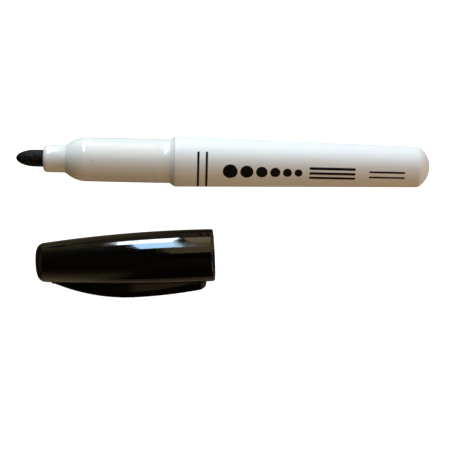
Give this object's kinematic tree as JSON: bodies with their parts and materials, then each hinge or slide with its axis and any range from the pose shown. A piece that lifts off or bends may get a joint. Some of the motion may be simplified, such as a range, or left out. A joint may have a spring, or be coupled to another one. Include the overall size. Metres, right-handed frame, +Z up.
{
  "type": "whiteboard marker",
  "caption": "Bullet-tip whiteboard marker lying uncapped, with a tapered round barrel, a stepped front section, and a separate bowed cap with a sprung clip.",
  "frame": {"origin": "middle of the layout as it lies on the table, at table height", "axes": "+X from nib to tail along the marker as seen from above, +Y from the cap towards the barrel, +Z up from the table"},
  "size_m": [0.124, 0.049, 0.0164],
  "materials": {
    "barrel_plastic": "satin white moulded plastic",
    "front_plastic": "glossy white moulded plastic",
    "nib_fibre": "pressed acrylic fibre soaked with black ink",
    "store_fibre": "bundled polyester fibre soaked with black ink",
    "store_film": "thin clear film",
    "cap_plastic": "polished black moulded plastic",
    "seal_plastic": "soft translucent plastic",
    "clip_plastic": "polished black moulded plastic"
  },
  "bodies": {
    "marker": {"barrel": "barrel_plastic", "front_section": "front_plastic", "nib": "nib_fibre", "ink_store": "store_fibre", "store_film": "store_film"},
    "cap": {"cap_shell": "cap_plastic", "cap_seal": "seal_plastic"},
    "clip_arm": {"clip": "clip_plastic"}
  },
  "joints": [
    {"name": "cap_offer", "type": "slide", "parent": "marker", "child": "cap", "axis": [-0.9534, 0.3016, 0.005], "range_m": [0, 0.09218]},
    {"name": "clip_flex", "type": "hinge", "parent": "cap", "child": "clip_arm", "pos_m": [-0.04244, -0.02083, 0.00369], "axis": [0.0048, 0.4286, -0.9035], "range_deg": [0, 4], "stiffness_Nm_per_rad": 0.9}
  ]
}
